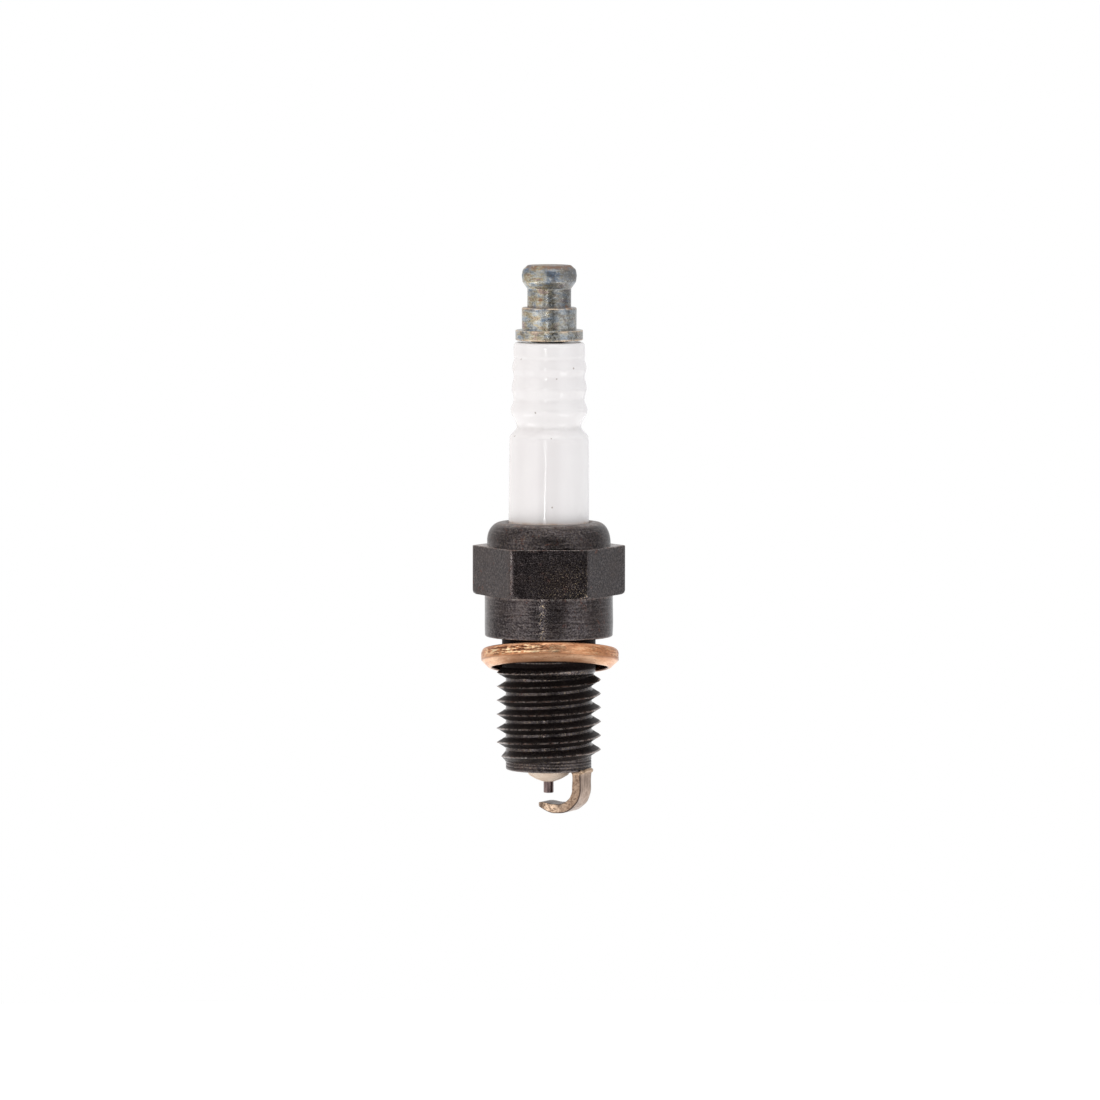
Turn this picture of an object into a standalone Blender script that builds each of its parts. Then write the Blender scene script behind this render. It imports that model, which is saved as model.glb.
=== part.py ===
"""Miniature spark plug: shell, insulator, electrodes, terminal nut, loose gasket and the sealed inner pieces.

The plug stands along +Z. The origin is on its axis, at the shell's gasket seat. Dimensions are in millimetres.
"""

import math

import bmesh
import bpy

MM = 0.001
SIDES = 36
STUD_SIDES = 24
MERGE = 1e-7

# Shell
HEX_ACROSS_FLATS = 8.0
HEX_BOTTOM = 2.57
HEX_TOP = 5.48
HEX_CORNER_RADIUS = 4.48
BARREL_RADIUS = 3.88
CRIMP_RADIUS = 3.745
CRIMP_TOP = 6.90
CRIMP_MOUTH_RADIUS = 2.52
SHELL_BORE_RADIUS = 3.22
LOWER_BORE_RADIUS = 2.20
LEDGE_RADIUS = 1.80
POCKET_RADIUS = 2.02
NECK_RADIUS = 2.83
PILOT_RADIUS = 2.59
REACH = 8.1

# Shell thread
THREAD_CREST_RADIUS = 3.155
THREAD_ROOT_RADIUS = 2.64
THREAD_PITCH = 0.845
THREAD_TURNS = 7
THREAD_LAST_CREST = -1.81
ROWS_PER_PITCH = 4

# Insulator
INSULATOR_TOP = 17.70
INSULATOR_BODY_RADIUS = 2.45
INSULATOR_FLANGE_RADIUS = 3.15
INSULATOR_BORE_RADIUS = 1.10
ELECTRODE_BORE_RADIUS = 0.78
TIP_BORE_RADIUS = 0.345
NOSE_END = -8.84
LEDGE_SLOPE = 0.75
# Height and radius of each rib crest and groove, from the top land down to the body.
RIB_KNOTS = [
    (16.80, 2.13),
    (16.24, 2.255),
    (15.70, 2.15),
    (15.03, 2.275),
    (14.30, 2.145),
    (13.70, 2.33),
    (12.67, 1.945),
    (11.98, 2.40),
]
STEPS_PER_RIB_SIDE = 3

# Terminal nut and stud
NUT_TOP = 22.42
NUT_BOTTOM = 17.90
NUT_BULB_RADIUS = 1.655
NUT_NECK_RADIUS = 1.31
NUT_COLLAR_RADIUS = 1.645
NUT_FLANGE_RADIUS = 2.035
NUT_BORE_RADIUS = 1.03
STUD_RADIUS = 1.02
STUD_BOTTOM = 9.00
STUD_TOP = 21.60
STUD_CREST_RADIUS = 0.97
STUD_ROOT_RADIUS = 0.79
STUD_PITCH = 0.40
STUD_TURNS = 8

# Centre electrode and the seals above it
SEAL_RADIUS = 1.04
SHEATH_RADIUS = 0.72
SHEATH_HEAD_TOP = 1.95
SHEATH_END = -7.90
CORE_RADIUS = 0.32
TIP_RADIUS = 0.30
TIP_TOP = -7.95
TIP_END = -9.52

# Ground electrode
STRAP_WIDTH = 1.50
STRAP_THICKNESS = 0.56
STRAP_CENTRE_RADIUS = 2.25
STRAP_BEND_RADIUS = 0.97
STRAP_ARM_HEIGHT = -10.40
STRAP_ARM_REACH = -0.50
STRAP_TURN = math.radians(-27.0)
WELD_GAP = 0.02
# Share of the arm's length, then the section's width and thickness there.
STRAP_END_SHAPE = [
    (0.45, 1.0, 1.0),
    (0.72, 0.97, 0.97),
    (0.88, 0.84, 0.88),
    (0.97, 0.60, 0.74),
    (1.0, 0.38, 0.58),
]

# Gasket
GASKET_HOLE_RADIUS = 3.04
GASKET_RADIUS = 4.155
GASKET_MOUTH_RADIUS = 3.50
GASKET_THICKNESS = 1.20
GASKET_SHEET = 0.30
GASKET_DROP = -0.76
GASKET_TILT = math.radians(-11.0)

# Packing under the crimp
WIRE_RING_CENTRE = 2.83
WIRE_RING_RADIUS = 0.28
WIRE_RING_SIDES = 10


def clear_scene():
    for obj in list(bpy.data.objects):
        bpy.data.objects.remove(obj, do_unlink=True)


def make_material(name, colour, roughness, metallic):
    material = bpy.data.materials.new(name)
    material.use_nodes = True
    shader = material.node_tree.nodes["Principled BSDF"]
    shader.inputs["Base Color"].default_value = (*colour, 1.0)
    shader.inputs["Roughness"].default_value = roughness
    shader.inputs["Metallic"].default_value = metallic
    material.diffuse_color = (*colour, 1.0)
    return material


def finish_object(name, bm, material, sharp_degrees=35.0):
    """Turn a closed bmesh into a named, smooth-shaded object with its creases kept."""
    bmesh.ops.remove_doubles(bm, verts=bm.verts, dist=MERGE)
    bmesh.ops.recalc_face_normals(bm, faces=bm.faces)
    mesh = bpy.data.meshes.new(name)
    bm.to_mesh(mesh)
    bm.free()
    mesh.materials.append(material)
    mesh.shade_smooth()
    mesh.set_sharp_from_angle(angle=math.radians(sharp_degrees))
    obj = bpy.data.objects.new(name, mesh)
    bpy.context.scene.collection.objects.link(obj)
    return obj


def turned(name, profile, material, closed=True, sides=SIDES):
    """Spin a profile of (radius, height) points round the Z axis."""
    bm = bmesh.new()
    points = [bm.verts.new((radius * MM, 0.0, height * MM)) for radius, height in profile]
    pairs = list(zip(points, points[1:]))
    if closed:
        pairs.append((points[-1], points[0]))
    edges = [bm.edges.new(pair) for pair in pairs]
    bmesh.ops.spin(
        bm,
        geom=points + edges,
        cent=(0.0, 0.0, 0.0),
        axis=(0.0, 0.0, 1.0),
        angle=math.tau,
        steps=sides,
        use_merge=True,
    )
    return finish_object(name, bm, material)


def ring(bm, radius, height, sides=SIDES):
    """One level ring of vertices. The radius is a number, or a function of the angle."""
    verts = []
    for i in range(sides):
        angle = math.tau * i / sides
        r = radius(angle) if callable(radius) else radius
        verts.append(bm.verts.new((r * math.cos(angle) * MM, r * math.sin(angle) * MM, height * MM)))
    return verts


def bridge(bm, first, second):
    """Quads between two rings. The outside is where the second ring is above the first."""
    for i in range(len(first)):
        j = (i + 1) % len(first)
        bm.faces.new((first[i], first[j], second[j], second[i]))


def bridge_all(bm, rings):
    for first, second in zip(rings, rings[1:]):
        bridge(bm, first, second)


def ease(value):
    value = min(max(value, 0.0), 1.0)
    return value * value * (3.0 - 2.0 * value)


def thread_between(bm, below, above, sides, last_crest, pitch, ridges, root, crest, run_in, run_out, floor):
    """A right-hand V thread between two level rings, as one sheet of rows that climb one pitch a turn.

    The ridge dies out at the height last_crest, on the +X side. root gives the plain radius at a height.
    The ridge grows over run_in turns at its lower end and fades over run_out turns at its upper end.
    No row goes below floor.
    """
    rows = ridges * ROWS_PER_PITCH
    start = last_crest - pitch * (ridges + 0.5)
    lift = {0: 0.0, 1: 0.42, 2: 1.0, 3: 0.42}
    grid = []
    for j in range(rows + 1):
        row = []
        for i in range(sides):
            angle = math.tau * i / sides
            height = start + pitch * (j / ROWS_PER_PITCH + i / sides)
            height = max(height, floor + 0.03 * j)
            along = j // ROWS_PER_PITCH + i / sides
            grown = ease(along / run_in) * ease((ridges - along) / run_out)
            plain = root(height)
            radius = plain + (crest - plain) * lift[j % ROWS_PER_PITCH] * grown
            row.append(bm.verts.new((radius * math.cos(angle) * MM, radius * math.sin(angle) * MM, height * MM)))
        grid.append(row)
    last = sides - 1
    for j in range(rows):
        for i in range(last):
            bm.faces.new((grid[j][i], grid[j][i + 1], grid[j + 1][i + 1], grid[j + 1][i]))
    # The last column meets the first one, one pitch higher.
    turn = ROWS_PER_PITCH
    for j in range(rows - turn):
        bm.faces.new((grid[j][last], grid[j + turn][0], grid[j + turn + 1][0], grid[j + 1][last]))
    for i in range(last):
        bm.faces.new((below[i], below[i + 1], grid[0][i + 1], grid[0][i]))
        bm.faces.new((grid[rows][i], grid[rows][i + 1], above[i + 1], above[i]))
    # Close the step that one pitch of climb leaves in the last column, at the bottom and at the top.
    for j in range(turn):
        bm.faces.new((below[last], grid[j][0], grid[j + 1][0]))
    bm.faces.new((below[last], below[0], grid[0][0]))
    bm.faces.new((below[last], grid[turn][0], grid[0][last]))
    for j in range(rows - turn, rows):
        bm.faces.new((above[0], grid[j + 1][last], grid[j][last]))
    bm.faces.new((above[0], above[last], grid[rows][last]))
    bm.faces.new((above[0], grid[rows - turn][last], grid[rows][0]))


def shell_root_radius(height):
    """The thread's root, eased into the neck above it and the pilot below it."""
    to_neck = ease((height + 2.50) / 0.40)
    to_pilot = ease((-6.90 - height) / 0.40)
    radius = THREAD_ROOT_RADIUS + (NECK_RADIUS - THREAD_ROOT_RADIUS) * to_neck
    return radius + (PILOT_RADIUS - THREAD_ROOT_RADIUS) * to_pilot


def hexagon(angle):
    """Radius of the wrench hexagon, with corners on +X and -X and flats facing +Y and -Y."""
    within = angle % (math.pi / 3.0) - math.pi / 6.0
    return HEX_ACROSS_FLATS / 2.0 / math.cos(within)


def hexagon_trimmed(angle):
    return min(hexagon(angle), HEX_CORNER_RADIUS)


def build_shell(material):
    bm = bmesh.new()
    bottom = [
        ring(bm, POCKET_RADIUS, -REACH),
        ring(bm, PILOT_RADIUS - 0.13, -REACH),
        ring(bm, PILOT_RADIUS - 0.035, -REACH + 0.06),
        ring(bm, PILOT_RADIUS, -REACH + 0.17),
    ]
    outside = [
        ring(bm, NECK_RADIUS, -1.25),
        ring(bm, NECK_RADIUS, 0.0),
        ring(bm, BARREL_RADIUS - 0.18, 0.0),
        ring(bm, BARREL_RADIUS - 0.05, 0.06),
        ring(bm, BARREL_RADIUS, 0.19),
        ring(bm, BARREL_RADIUS, HEX_BOTTOM),
        ring(bm, hexagon_trimmed, HEX_BOTTOM),
        ring(bm, hexagon, HEX_BOTTOM + 0.17),
        ring(bm, hexagon, HEX_TOP - 0.06),
        ring(bm, hexagon_trimmed, HEX_TOP),
        ring(bm, CRIMP_RADIUS, HEX_TOP),
    ]
    # The crimp's outside rolls in over a rounded shoulder.
    crimp_start = HEX_TOP + 0.22
    for step in range(6):
        turn = math.radians(12.0 + 15.6 * step)
        radius = 2.86 + (CRIMP_RADIUS - 2.86) * math.cos(turn)
        height = crimp_start + (CRIMP_TOP - crimp_start) * math.sin(turn)
        outside.append(ring(bm, radius, height))
    inside = [
        ring(bm, CRIMP_MOUTH_RADIUS + 0.05, CRIMP_TOP - 0.02),
        ring(bm, CRIMP_MOUTH_RADIUS, CRIMP_TOP - 0.09),
        ring(bm, CRIMP_MOUTH_RADIUS, CRIMP_TOP - 0.48),
        ring(bm, 2.86, CRIMP_TOP - 0.60),
        ring(bm, SHELL_BORE_RADIUS - 0.05, CRIMP_TOP - 0.85),
        ring(bm, SHELL_BORE_RADIUS, CRIMP_TOP - 1.10),
        ring(bm, SHELL_BORE_RADIUS, 1.02),
        ring(bm, LOWER_BORE_RADIUS, 0.22),
        ring(bm, LOWER_BORE_RADIUS, -2.42),
        ring(bm, LEDGE_RADIUS, -2.42 - LEDGE_SLOPE * (LOWER_BORE_RADIUS - LEDGE_RADIUS)),
        ring(bm, LEDGE_RADIUS, -3.50),
        ring(bm, POCKET_RADIUS, -3.78),
    ]
    bridge_all(bm, bottom)
    thread_between(
        bm,
        bottom[-1],
        outside[0],
        SIDES,
        THREAD_LAST_CREST,
        THREAD_PITCH,
        THREAD_TURNS,
        shell_root_radius,
        THREAD_CREST_RADIUS,
        1.0,
        0.5,
        -REACH + 0.20,
    )
    bridge_all(bm, outside + inside + [bottom[0]])
    return finish_object("shell", bm, material, sharp_degrees=28.0)


def insulator_profile():
    points = [
        (INSULATOR_BORE_RADIUS, INSULATOR_TOP),
        (1.86, INSULATOR_TOP),
        (2.03, INSULATOR_TOP - 0.04),
        (2.13, INSULATOR_TOP - 0.15),
        (2.16, INSULATOR_TOP - 0.32),
        (2.16, 17.00),
    ]
    for (high, r_high), (low, r_low) in zip(RIB_KNOTS, RIB_KNOTS[1:]):
        for step in range(STEPS_PER_RIB_SIDE):
            part = step / STEPS_PER_RIB_SIDE
            points.append((r_high + (r_low - r_high) * ease(part), high + (low - high) * part))
    ledge_top = -2.05
    lower_radius = LOWER_BORE_RADIUS - 0.07
    nose_radius = 1.70
    points += [
        (RIB_KNOTS[-1][1], RIB_KNOTS[-1][0]),
        (INSULATOR_BODY_RADIUS, 6.90),
        (INSULATOR_BODY_RADIUS, 4.15),
        (INSULATOR_FLANGE_RADIUS, 3.75),
        (INSULATOR_FLANGE_RADIUS, 1.10),
        (lower_radius, 0.30),
        (lower_radius, ledge_top),
        (nose_radius, ledge_top - LEDGE_SLOPE * (lower_radius - nose_radius)),
        (1.34, -8.21),
        (1.17, -8.44),
        (0.74, -8.69),
        (TIP_BORE_RADIUS, NOSE_END),
        (TIP_BORE_RADIUS, TIP_TOP + 0.02),
        (ELECTRODE_BORE_RADIUS, TIP_TOP + 0.02),
        (ELECTRODE_BORE_RADIUS, 1.15),
        (INSULATOR_BORE_RADIUS, 1.47),
    ]
    return points


def nut_profile():
    return [
        (0.0, NUT_TOP),
        (1.20, NUT_TOP),
        (1.34, NUT_TOP - 0.03),
        (1.47, NUT_TOP - 0.13),
        (1.595, NUT_TOP - 0.33),
        (1.65, NUT_TOP - 0.58),
        (NUT_BULB_RADIUS, NUT_TOP - 0.76),
        (1.60, NUT_TOP - 0.98),
        (1.46, NUT_TOP - 1.19),
        (NUT_NECK_RADIUS + 0.01, NUT_TOP - 1.37),
        (NUT_NECK_RADIUS, 19.86),
        (NUT_COLLAR_RADIUS - 0.08, 19.86),
        (NUT_COLLAR_RADIUS, 19.79),
        (NUT_COLLAR_RADIUS, 18.52),
        (NUT_FLANGE_RADIUS - 0.05, 18.52),
        (NUT_FLANGE_RADIUS, 18.46),
        (NUT_FLANGE_RADIUS, NUT_BOTTOM + 0.06),
        (NUT_FLANGE_RADIUS - 0.05, NUT_BOTTOM),
        (NUT_BORE_RADIUS + 0.08, NUT_BOTTOM),
        (NUT_BORE_RADIUS, NUT_BOTTOM + 0.08),
        (NUT_BORE_RADIUS, 21.72),
        (0.0, 22.00),
    ]


def build_stud(material):
    bm = bmesh.new()
    lower = [
        ring(bm, 0.82, STUD_BOTTOM, STUD_SIDES),
        ring(bm, STUD_RADIUS, STUD_BOTTOM + 0.18, STUD_SIDES),
    ]
    # Three grooves let the glass seal grip the stud's foot.
    for groove in range(3):
        level = STUD_BOTTOM + 0.45 + 0.50 * groove
        lower += [
            ring(bm, STUD_RADIUS, level, STUD_SIDES),
            ring(bm, STUD_RADIUS - 0.14, level + 0.08, STUD_SIDES),
            ring(bm, STUD_RADIUS - 0.14, level + 0.18, STUD_SIDES),
            ring(bm, STUD_RADIUS, level + 0.26, STUD_SIDES),
        ]
    lower += [
        ring(bm, STUD_RADIUS, 17.45, STUD_SIDES),
        ring(bm, STUD_ROOT_RADIUS, 17.60, STUD_SIDES),
    ]
    upper = [
        ring(bm, STUD_ROOT_RADIUS, STUD_TOP - 0.16, STUD_SIDES),
        ring(bm, STUD_ROOT_RADIUS - 0.14, STUD_TOP, STUD_SIDES),
    ]
    bridge_all(bm, lower)
    thread_between(
        bm,
        lower[-1],
        upper[0],
        STUD_SIDES,
        STUD_TOP - 0.20 - STUD_PITCH / 2.0,
        STUD_PITCH,
        STUD_TURNS,
        lambda height: STUD_ROOT_RADIUS,
        STUD_CREST_RADIUS,
        0.4,
        0.4,
        17.62,
    )
    bridge_all(bm, upper)
    bm.faces.new(list(reversed(lower[0])))
    bm.faces.new(upper[-1])
    return finish_object("terminal_stud", bm, material, sharp_degrees=28.0)


def strap_stations():
    """Centre, heading angle and width and thickness scale of each section, from the weld to the arm's end."""
    start = -REACH - WELD_GAP
    bend_height = STRAP_ARM_HEIGHT + STRAP_BEND_RADIUS
    bend_centre = STRAP_CENTRE_RADIUS - STRAP_BEND_RADIUS
    stations = [
        (STRAP_CENTRE_RADIUS, start, 0.0, 1.04, 1.04),
        (STRAP_CENTRE_RADIUS, start - 0.10, 0.0, 1.06, 1.10),
        (STRAP_CENTRE_RADIUS, start - 0.22, 0.0, 1.0, 1.0),
    ]
    for step in range(8):
        turn = math.pi / 2.0 * step / 7.0
        across = bend_centre + STRAP_BEND_RADIUS * math.cos(turn)
        height = bend_height - STRAP_BEND_RADIUS * math.sin(turn)
        stations.append((across, height, turn, 1.0, 1.0))
    # The arm's end is rounded in plan and thinned like a spatula.
    for part, width, thickness in STRAP_END_SHAPE:
        across = bend_centre + (STRAP_ARM_REACH - bend_centre) * part
        stations.append((across, STRAP_ARM_HEIGHT, math.pi / 2.0, width, thickness))
    return stations


def build_ground_electrode(material):
    bm = bmesh.new()
    half_width = STRAP_WIDTH / 2.0
    half_thickness = STRAP_THICKNESS / 2.0
    corner = 0.09
    sections = []
    for across, height, turn, width_scale, thickness_scale in strap_stations():
        w = half_width * width_scale
        t = half_thickness * thickness_scale
        outline = [
            (t, -w + corner),
            (t, w - corner),
            (t - corner, w),
            (-t + corner, w),
            (-t, w - corner),
            (-t, -w + corner),
            (-t + corner, -w),
            (t - corner, -w),
        ]
        section = []
        for out, side in outline:
            x = across + out * math.cos(turn)
            z = height - out * math.sin(turn) + REACH
            section.append(bm.verts.new((x * MM, side * MM, z * MM)))
        sections.append(section)
    bridge_all(bm, sections)
    bm.faces.new(sections[0])
    bm.faces.new(list(reversed(sections[-1])))
    obj = finish_object("ground_electrode", bm, material)
    obj.location = (0.0, 0.0, -REACH * MM)
    obj.rotation_euler = (0.0, 0.0, STRAP_TURN)
    return obj


def gasket_profile():
    outer = GASKET_RADIUS
    mouth = GASKET_MOUTH_RADIUS
    depth = -GASKET_THICKNESS
    return [
        (GASKET_HOLE_RADIUS, 0.0),
        (outer - 0.46, 0.0),
        (outer - 0.22, -0.07),
        (outer - 0.055, -0.24),
        (outer, -0.45),
        (outer - 0.035, -0.62),
        (mouth + 0.17, depth + 0.06),
        (mouth + 0.09, depth),
        (mouth, depth + 0.05),
        (mouth + 0.02, depth + 0.16),
        (outer - 0.30, -0.62),
        (outer - 0.27, -0.44),
        (outer - 0.42, -GASKET_SHEET - 0.03),
        (GASKET_HOLE_RADIUS, -GASKET_SHEET),
    ]


def plug_profile(radius, bottom, top, edge):
    """A solid cylinder's profile with broken edges."""
    return [
        (0.0, top),
        (radius - edge, top),
        (radius, top - edge),
        (radius, bottom + edge),
        (radius - edge, bottom),
        (0.0, bottom),
    ]


def wire_ring_profile(height):
    points = []
    for step in range(WIRE_RING_SIDES):
        turn = -math.tau * step / WIRE_RING_SIDES
        radius = WIRE_RING_CENTRE + WIRE_RING_RADIUS * math.cos(turn)
        points.append((radius, height + WIRE_RING_RADIUS * math.sin(turn)))
    return points


def seat_washer_profile():
    """A thin conical washer between the insulator's shoulder and the shell's ledge."""
    inner, outer = 1.86, LOWER_BORE_RADIUS - 0.05
    upper = -2.05 - 0.0625 - LEDGE_SLOPE * (LOWER_BORE_RADIUS - 0.07 - outer)
    lower = upper - 0.2975
    drop = LEDGE_SLOPE * (outer - inner)
    return [
        (inner, upper - drop),
        (outer, upper),
        (outer, lower),
        (inner, lower - drop),
    ]


def build():
    clear_scene()
    black_oxide = make_material("black_oxide_steel", (0.055, 0.048, 0.044), 0.42, 0.8)
    nickel = make_material("nickel_alloy", (0.42, 0.35, 0.27), 0.38, 0.9)
    copper = make_material("copper", (0.78, 0.42, 0.25), 0.34, 1.0)
    glaze = make_material("white_glaze", (0.86, 0.86, 0.87), 0.12, 0.0)
    zinc = make_material("zinc_plate", (0.42, 0.42, 0.38), 0.30, 1.0)
    steel = make_material("plain_steel", (0.45, 0.45, 0.45), 0.35, 1.0)
    glass = make_material("seal_glass", (0.20, 0.19, 0.18), 0.30, 0.0)
    carbon = make_material("resistor_compound", (0.06, 0.06, 0.06), 0.70, 0.0)
    talc = make_material("talc", (0.75, 0.73, 0.68), 0.90, 0.0)
    dark_wire = make_material("dark_wire", (0.16, 0.13, 0.12), 0.40, 0.9)

    build_shell(black_oxide)
    build_ground_electrode(nickel)
    turned("insulator", insulator_profile(), glaze)
    build_stud(steel)
    turned("upper_glass_seal", plug_profile(SEAL_RADIUS, 7.65, 8.95, 0.06), glass, closed=False)
    turned("resistor", plug_profile(SEAL_RADIUS, 3.85, 7.60, 0.06), carbon, closed=False)
    turned("lower_glass_seal", plug_profile(SEAL_RADIUS, 2.00, 3.80, 0.06), glass, closed=False)
    # The sheath's profile runs up the core's blind hole, over the head and down the outside.
    sheath = [
        (0.0, -7.20),
        (CORE_RADIUS + 0.04, -7.05),
        (CORE_RADIUS + 0.04, SHEATH_HEAD_TOP),
        (SEAL_RADIUS, SHEATH_HEAD_TOP),
        (SEAL_RADIUS, 1.53),
        (SHEATH_RADIUS, 1.22),
        (SHEATH_RADIUS, SHEATH_END + 0.10),
        (SHEATH_RADIUS - 0.10, SHEATH_END),
        (0.0, SHEATH_END),
    ]
    turned("electrode_sheath", sheath, nickel, closed=False)
    turned("electrode_core", plug_profile(CORE_RADIUS, -7.00, SHEATH_HEAD_TOP - 0.03, 0.08), copper, closed=False)
    turned("electrode_tip", plug_profile(TIP_RADIUS, TIP_END, TIP_TOP - 0.02, 0.03), dark_wire, closed=False)
    turned("seat_washer", seat_washer_profile(), steel)
    turned("lower_packing_ring", wire_ring_profile(4.29), steel)
    turned("talc_packing", [(2.50, 5.40), (3.17, 5.40), (3.17, 4.62), (2.50, 4.62)], talc)
    turned("upper_packing_ring", wire_ring_profile(5.73), steel)

    nut = turned("terminal_nut", [(r, z - NUT_BOTTOM) for r, z in nut_profile()], zinc, closed=False)
    nut.location = (0.0, 0.0, NUT_BOTTOM * MM)

    gasket = turned("gasket", gasket_profile(), copper)
    gasket.location = (0.0, 0.0, GASKET_DROP * MM)
    gasket.rotation_euler = (GASKET_TILT, 0.0, 0.0)


build()
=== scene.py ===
import math

import bpy
import numpy as np
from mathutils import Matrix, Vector


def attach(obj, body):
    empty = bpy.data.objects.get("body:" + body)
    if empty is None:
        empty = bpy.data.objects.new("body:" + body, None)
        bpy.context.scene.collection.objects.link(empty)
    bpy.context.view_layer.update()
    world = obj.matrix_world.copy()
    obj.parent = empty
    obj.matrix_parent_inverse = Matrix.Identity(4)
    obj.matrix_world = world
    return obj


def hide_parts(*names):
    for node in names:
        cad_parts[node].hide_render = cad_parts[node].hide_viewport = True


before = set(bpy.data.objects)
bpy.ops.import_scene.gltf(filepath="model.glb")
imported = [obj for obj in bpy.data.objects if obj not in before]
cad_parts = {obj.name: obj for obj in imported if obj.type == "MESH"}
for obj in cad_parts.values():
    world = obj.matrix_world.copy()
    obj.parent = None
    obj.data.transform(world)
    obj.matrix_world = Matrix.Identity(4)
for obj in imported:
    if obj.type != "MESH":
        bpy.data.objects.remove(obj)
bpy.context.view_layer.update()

# Lengths are in millimetres from the shell's seat and the plug's axis, and MM turns them to metres.
# Noise scales and bump distances in the materials are in metres, as the nodes take them.
MM = 0.001
TAU = math.tau


# ---------------------------------------------------------------- numbers
def smooth(t):
    """0 below 0, 1 above 1, and an even S between."""
    t = np.clip(t, 0.0, 1.0)
    return t * t * (3.0 - 2.0 * t)


def bell(value, centre, width):
    """1 at the centre, falling off evenly on both sides."""
    return np.exp(-((value - centre) / width) ** 2)


class Waves:
    """Smooth repeatable noise on a turned surface: a sum of waves in angle and height."""

    def __init__(self, seed, count, angle_max, height_max):
        draw = np.random.default_rng(seed)
        self.turns = draw.integers(0, angle_max + 1, count)
        self.rises = draw.uniform(-height_max, height_max, count)
        self.phases = draw.uniform(0, TAU, count)
        self.sizes = draw.uniform(0.4, 1.0, count)
        self.sizes /= np.sqrt((self.sizes ** 2).sum() / 2)

    def __call__(self, theta, z):
        out = np.zeros(np.broadcast(theta, z).shape)
        for turn, rise, phase, size in zip(self.turns, self.rises, self.phases, self.sizes):
            out += size * np.sin(turn * theta + rise * z + phase)
        return out


def path_of(points, step=0.12):
    """A dense profile from (radius, height, fillet) corners, with its corners rounded."""
    straight, most_back, arc_step = 0.02, 0.49, 0.26
    pts = [np.array(p[:2], float) for p in points]
    fillets = [p[2] if len(p) > 2 else 0.0 for p in points]
    out = [pts[0]]
    for a, b, c, fillet in zip(pts, pts[1:], pts[2:], fillets[1:]):
        u, v = a - b, c - b
        u_length, v_length = np.linalg.norm(u), np.linalg.norm(v)
        u, v = u / u_length, v / v_length
        angle = math.acos(max(-1.0, min(1.0, float(u @ v))))
        if fillet <= 0 or angle > math.pi - straight:
            out.append(b)
            continue
        back = min(fillet / math.tan(angle / 2), u_length * most_back, v_length * most_back)
        radius = back * math.tan(angle / 2)
        bisector = (u + v) / np.linalg.norm(u + v)
        centre = b + bisector * (radius / math.sin(angle / 2))
        first = math.atan2(*(b + u * back - centre)[::-1])
        final = math.atan2(*(b + v * back - centre)[::-1])
        turn = (final - first + math.pi) % TAU - math.pi
        count = max(3, int(abs(turn) / arc_step))
        for s in range(count + 1):
            t = first + turn * s / count
            out.append(centre + radius * np.array([math.cos(t), math.sin(t)]))
    out.append(pts[-1])
    dense = [out[0]]
    for a, b in zip(out, out[1:]):
        n = max(1, int(np.linalg.norm(b - a) / step))
        dense += [a + (b - a) * s / n for s in range(1, n + 1)]
    return np.array(dense)


# ---------------------------------------------------------------- meshes
def new_object(name, data):
    obj = bpy.data.objects.new(name, data)
    bpy.context.scene.collection.objects.link(obj)
    return obj


def ring_quads(below, above):
    """Quads between rows of indices that close on themselves."""
    corners = [below, np.roll(below, -1, 1), np.roll(above, -1, 1), above]
    return np.stack(corners, axis=-1).reshape(-1, 4).tolist()


def set_attribute(mesh, name, values):
    layer = mesh.attributes.new(name, "FLOAT", "POINT")
    layer.data.foreach_set("value", values.astype(np.float32))


def grid_object(name, points, wrap_rows=False, poles=False, **attributes):
    """A mesh from points [row, column, xyz]. Columns close round the piece, and rows follow its
    profile: they close too, or end at a pole in the middle of the first and last row."""
    rows, cols = points.shape[:2]
    index = np.arange(rows * cols).reshape(rows, cols)
    if wrap_rows:
        faces = ring_quads(index, np.roll(index, -1, axis=0))
    else:
        faces = ring_quads(index[:-1], index[1:])
    verts = points.reshape(-1, 3) * MM
    spare = np.zeros(2 if poles else 0)
    if poles:
        start, end = rows * cols, rows * cols + 1
        after = [(i + 1) % cols for i in range(cols)]
        faces += [(int(index[0, after[i]]), int(index[0, i]), start) for i in range(cols)]
        faces += [(int(index[-1, i]), int(index[-1, after[i]]), end) for i in range(cols)]
        middles = [points[0].mean(axis=0) * MM, points[-1].mean(axis=0) * MM]
        verts = np.vstack([verts, np.array(middles)])
    mesh = bpy.data.meshes.new(name)
    mesh.from_pydata(verts.tolist(), [], faces)
    for key, value in attributes.items():
        set_attribute(mesh, key, np.concatenate([np.asarray(value, float).reshape(-1), spare]))
    mesh.shade_smooth()
    return new_object(name, mesh)


def lathe_points(profile, segments, radial):
    """Points of a turned surface. radial(theta, radius, height) returns the radius to use."""
    theta = np.arange(segments) * TAU / segments
    radius = np.repeat(profile[:, :1], segments, axis=1)
    height = np.repeat(profile[:, 1:2], segments, axis=1)
    angle = np.repeat(theta[None, :], len(profile), axis=0)
    radius = radial(angle, radius, height)
    return np.stack([radius * np.cos(angle), radius * np.sin(angle), height], axis=-1)


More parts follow.
